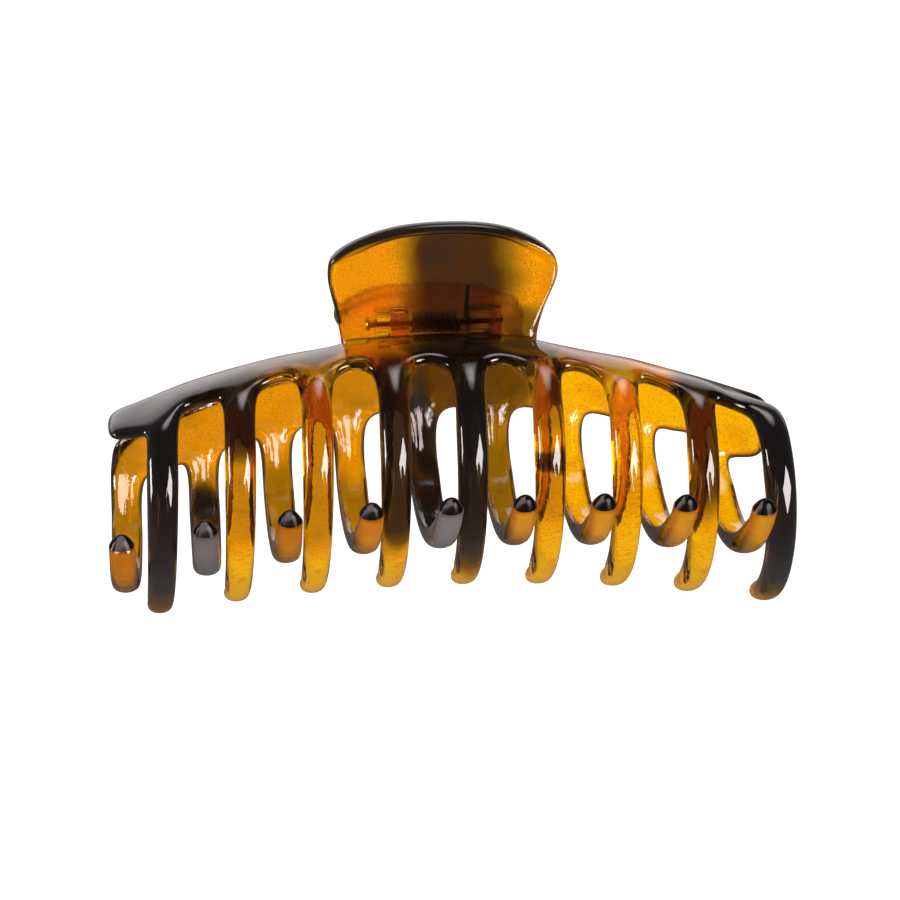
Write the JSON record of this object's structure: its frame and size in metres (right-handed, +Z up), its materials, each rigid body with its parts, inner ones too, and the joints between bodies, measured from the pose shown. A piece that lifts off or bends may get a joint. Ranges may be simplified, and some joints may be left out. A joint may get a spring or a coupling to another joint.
{
  "type": "hair clip",
  "caption": "Large claw hair clip of translucent tortoiseshell plastic: interlocking hooked jaws with thumb levers, hinged on a steel pin and closed by a torsion spring.",
  "frame": {"origin": "middle of the clip's outline on the surface that it lies on", "axes": "+X along the clip, +Y towards the thumb levers, +Z up; the clip lies on its back"},
  "size_m": [0.1182, 0.0654, 0.0474],
  "materials": {
    "tortoiseshell": "glossy translucent amber with dark brown blotches",
    "hinge_steel": "plain drawn steel wire"
  },
  "bodies": {
    "rear": {"rear_jaw": "tortoiseshell", "hinge_pin": "hinge_steel", "spring_coil": "hinge_steel"},
    "front": {"front_jaw": "tortoiseshell", "spring_front_leg": "hinge_steel"}
  },
  "joints": [
    {"name": "jaw_hinge", "type": "hinge", "parent": "rear", "child": "front", "pos_m": [-0.00038, 0.01824, 0.01757], "axis": [-1, 0, -0.0023], "range_deg": [0, 50], "stiffness_Nm_per_rad": 0.08, "springref_deg": -40.11}
  ]
}
